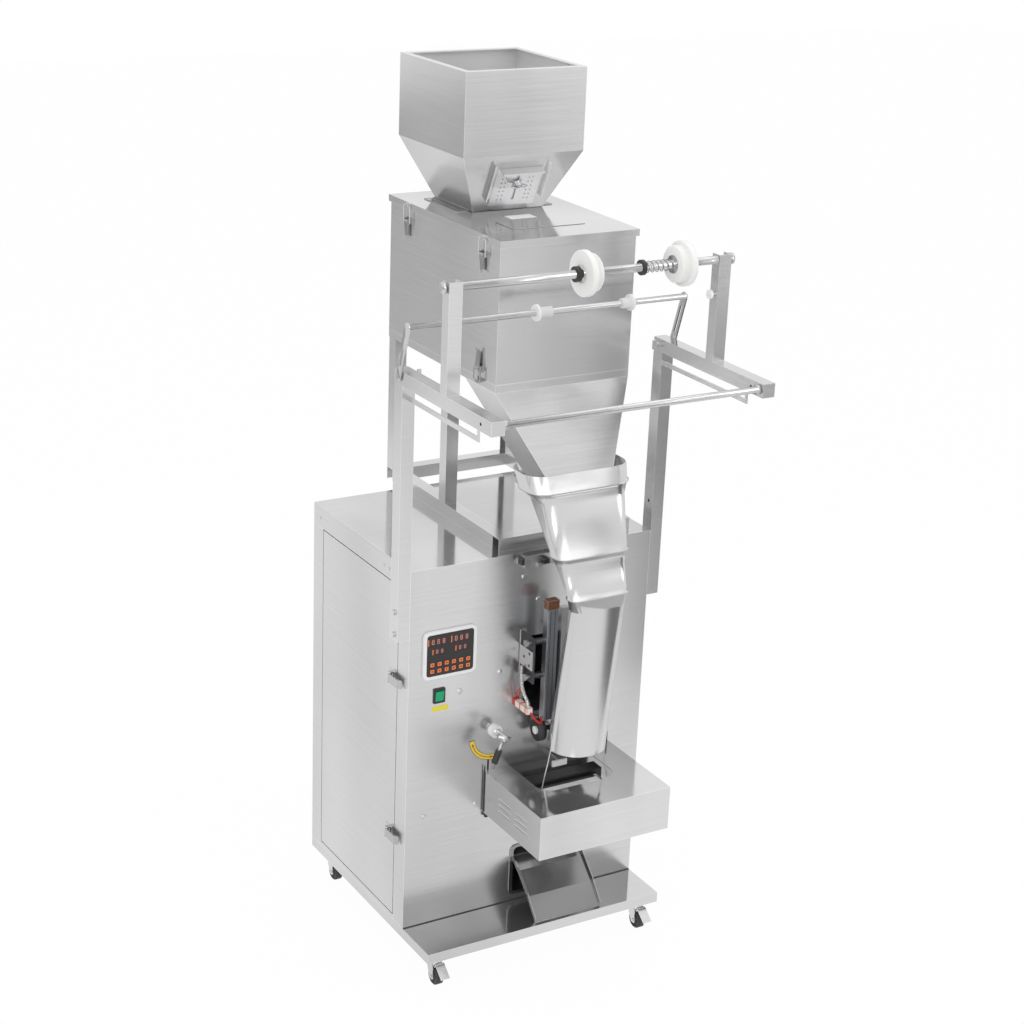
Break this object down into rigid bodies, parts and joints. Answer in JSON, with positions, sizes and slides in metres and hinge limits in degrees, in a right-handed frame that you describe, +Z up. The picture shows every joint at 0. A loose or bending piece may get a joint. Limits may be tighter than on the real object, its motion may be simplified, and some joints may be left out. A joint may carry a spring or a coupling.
{
  "type": "powder packaging machine",
  "caption": "Weigh-filler with hopper, funnel, forming tube, film roll arms and heat-sealing jaws on a steel cabinet with casters; fills and seals powder in bags.",
  "frame": {"origin": "centre of the footprint of the whole machine, on the floor", "axes": "+X to the operator's right, +Y from the operator's side to the back, +Z up"},
  "size_m": [0.622, 0.844, 1.771],
  "materials": {
    "brushed_steel": "satin",
    "polished_steel": "polished",
    "chrome": "polished",
    "white_plastic": "matte",
    "black_film": "satin",
    "black_plastic": "matte",
    "green_plastic": "gloss",
    "grey_paint": "satin",
    "cast_metal": "satin",
    "black_metal": "matte",
    "black_rubber": "matte",
    "red_rubber": "matte"
  },
  "bodies": {
    "frame": {"base_plate": "brushed_steel", "cabinet_shell": "brushed_steel", "front_panel": "brushed_steel", "top_cover": "brushed_steel", "scale_stand": "brushed_steel", "scale_box": "brushed_steel", "latch_bases": "polished_steel", "funnel": "brushed_steel", "former_collar": "polished_steel", "forming_tube": "polished_steel", "discharge_chute": "brushed_steel", "film_frame_left": "brushed_steel", "film_frame_right": "brushed_steel", "controller_bezel": "white_plastic", "controller_face": "black_film", "rocker_frame": "black_plastic", "sealer_bracket": "brushed_steel", "jaw_rods": "chrome", "gear_motor": "grey_paint", "fasteners": "polished_steel", "feeder": "brushed_steel", "weigher": "brushed_steel", "heater_leads": "red_rubber", "bar_springs": "chrome"},
    "side_door": {"side_door": "brushed_steel"},
    "door_latch_upper": {"door_latch_upper": "polished_steel"},
    "door_latch_lower": {"door_latch_lower": "polished_steel"},
    "crank": {"crank_disc": "grey_paint"},
    "lid": {"lid": "brushed_steel", "hopper": "brushed_steel", "inspection_window": "brushed_steel"},
    "lid_latch_front": {"lid_latch_front": "polished_steel"},
    "lid_latch_rear": {"lid_latch_rear": "polished_steel"},
    "box_latch": {"box_latch": "polished_steel"},
    "hopper_gate": {"hopper_gate": "brushed_steel"},
    "gate_screw": {"gate_screw": "chrome"},
    "bucket_flap": {"bucket_flap": "brushed_steel"},
    "guard": {"guard": "brushed_steel"},
    "film_shaft": {"film_shaft": "chrome", "roll_cones": "white_plastic", "shaft_collars": "black_plastic"},
    "dancer": {"dancer_frame": "chrome", "guide_rings": "white_plastic"},
    "front_rod": {"front_rod": "chrome"},
    "rocker": {"rocker": "green_plastic"},
    "pressure_lever": {"pressure_lever": "chrome"},
    "heater_bar": {"heater_bar": "cast_metal"},
    "pull_rollers": {"pull_rollers": "black_rubber"},
    "front_jaw": {"front_jaw": "black_metal"},
    "rear_jaw": {"rear_jaw": "black_metal"},
    "fork_front_left": {"fork_front_left": "chrome"},
    "wheel_front_left": {"wheel_front_left": "black_rubber"},
    "fork_front_right": {"fork_front_right": "chrome"},
    "wheel_front_right": {"wheel_front_right": "black_rubber"},
    "fork_rear_left": {"fork_rear_left": "chrome"},
    "wheel_rear_left": {"wheel_rear_left": "black_rubber"},
    "fork_rear_right": {"fork_rear_right": "chrome"},
    "wheel_rear_right": {"wheel_rear_right": "black_rubber"},
    "brake_left": {"brake_left": "polished_steel"},
    "brake_right": {"brake_right": "polished_steel"}
  },
  "joints": [
    {"name": "side_door_hinge", "type": "hinge", "parent": "frame", "child": "side_door", "pos_m": [-0.267, 0.285, 0.46], "axis": [0, 0, -1], "range_deg": [0, 110]},
    {"name": "crank_turn", "type": "hinge", "parent": "frame", "child": "crank", "pos_m": [0.054, 0.09, 0.336], "axis": [0, 1, 0], "continuous": true},
    {"name": "lid_lift", "type": "slide", "parent": "frame", "child": "lid", "axis": [0, 0, 1], "range_m": [0, 0.15]},
    {"name": "hopper_gate_slide", "type": "slide", "parent": "lid", "child": "hopper_gate", "axis": [0, -0.4231, 0.9061], "range_m": [0, 0.036]},
    {"name": "gate_screw_turn", "type": "hinge", "parent": "lid", "child": "gate_screw", "pos_m": [0.083, 0.17725, 1.5445], "axis": [0, -0.9061, -0.4231], "continuous": true},
    {"name": "bucket_flap_hinge", "type": "hinge", "parent": "frame", "child": "bucket_flap", "pos_m": [0.083, 0.073, 1.218], "axis": [1, 0, 0], "range_deg": [0, 60]},
    {"name": "guard_lift", "type": "slide", "parent": "frame", "child": "guard", "axis": [0, 0, 1], "range_m": [0, 0.02]},
    {"name": "film_shaft_turn", "type": "hinge", "parent": "frame", "child": "film_shaft", "pos_m": [0, -0.247, 1.466], "axis": [1, 0, 0], "continuous": true},
    {"name": "dancer_swing", "type": "hinge", "parent": "frame", "child": "dancer", "pos_m": [0, -0.08, 1.259], "axis": [-1, 0, 0], "range_deg": [0, 30]},
    {"name": "front_rod_turn", "type": "hinge", "parent": "frame", "child": "front_rod", "pos_m": [0, -0.41, 1.258], "axis": [1, 0, 0], "continuous": true},
    {"name": "rocker_switch", "type": "hinge", "parent": "frame", "child": "rocker", "pos_m": [-0.206, -0.086, 0.596], "axis": [-1, 0, 0], "range_deg": [0, 14]},
    {"name": "pressure_lever_turn", "type": "hinge", "parent": "frame", "child": "pressure_lever", "pos_m": [-0.088, -0.14, 0.504], "axis": [0, -1, 0], "range_deg": [-60, 30]},
    {"name": "heater_bar_press", "type": "slide", "parent": "frame", "child": "heater_bar", "axis": [1, 0, 0], "range_m": [0, 0.008], "stiffness_N_per_m": 400, "deforming": ["bar_springs"]},
    {"name": "pull_roller_turn", "type": "hinge", "parent": "frame", "child": "pull_rollers", "pos_m": [0.059, -0.121, 0.49], "axis": [1, 0, 0], "continuous": true},
    {"name": "front_jaw_close", "type": "slide", "parent": "frame", "child": "front_jaw", "axis": [0, 1, 0], "range_m": [0, 0.017]},
    {"name": "rear_jaw_close", "type": "slide", "parent": "frame", "child": "rear_jaw", "axis": [0, -1, 0], "range_m": [0, 0.017]},
    {"name": "door_latch_lower_open", "type": "hinge", "parent": "side_door", "child": "door_latch_lower", "pos_m": [-0.282, -0.025, 0.279], "axis": [0, 0, -1], "range_deg": [0, 120]},
    {"name": "door_latch_upper_open", "type": "hinge", "parent": "side_door", "child": "door_latch_upper", "pos_m": [-0.282, -0.025, 0.623], "axis": [0, 0, -1], "range_deg": [0, 120]},
    {"name": "lid_latch_front_open", "type": "hinge", "parent": "frame", "child": "lid_latch_front", "pos_m": [-0.0755, 0.025, 1.446], "axis": [0, 1, 0], "range_deg": [0, 120]},
    {"name": "lid_latch_rear_open", "type": "hinge", "parent": "frame", "child": "lid_latch_rear", "pos_m": [-0.0755, 0.336, 1.446], "axis": [0, 1, 0], "range_deg": [0, 120]},
    {"name": "box_latch_open", "type": "hinge", "parent": "frame", "child": "box_latch", "pos_m": [-0.0755, 0.029, 1.22], "axis": [0, -1, 0], "range_deg": [0, 120]},
    {"name": "swivel_front_left", "type": "hinge", "parent": "frame", "child": "fork_front_left", "pos_m": [-0.243, -0.162, 0.07], "axis": [0, 0, 1], "continuous": true},
    {"name": "roll_front_left", "type": "hinge", "parent": "fork_front_left", "child": "wheel_front_left", "pos_m": [-0.243, -0.178, 0.019], "axis": [1, 0, 0], "continuous": true},
    {"name": "swivel_front_right", "type": "hinge", "parent": "frame", "child": "fork_front_right", "pos_m": [0.243, -0.162, 0.07], "axis": [0, 0, 1], "continuous": true},
    {"name": "roll_front_right", "type": "hinge", "parent": "fork_front_right", "child": "wheel_front_right", "pos_m": [0.243, -0.178, 0.019], "axis": [1, 0, 0], "continuous": true},
    {"name": "swivel_rear_left", "type": "hinge", "parent": "frame", "child": "fork_rear_left", "pos_m": [-0.243, 0.304, 0.07], "axis": [0, 0, 1], "continuous": true},
    {"name": "roll_rear_left", "type": "hinge", "parent": "fork_rear_left", "child": "wheel_rear_left", "pos_m": [-0.243, 0.288, 0.019], "axis": [1, 0, 0], "continuous": true},
    {"name": "swivel_rear_right", "type": "hinge", "parent": "frame", "child": "fork_rear_right", "pos_m": [0.243, 0.304, 0.07], "axis": [0, 0, 1], "continuous": true},
    {"name": "roll_rear_right", "type": "hinge", "parent": "fork_rear_right", "child": "wheel_rear_right", "pos_m": [0.243, 0.288, 0.019], "axis": [1, 0, 0], "continuous": true},
    {"name": "brake_pedal_left", "type": "hinge", "parent": "fork_front_left", "child": "brake_left", "pos_m": [-0.243, -0.186, 0.047], "axis": [1, 0, 0], "range_deg": [0, 12]},
    {"name": "brake_pedal_right", "type": "hinge", "parent": "fork_front_right", "child": "brake_right", "pos_m": [0.243, -0.186, 0.047], "axis": [1, 0, 0], "range_deg": [0, 12]}
  ],
  "couplings": [
    {"joint": "rear_jaw_close", "follows": "front_jaw_close", "ratio": 1}
  ]
}
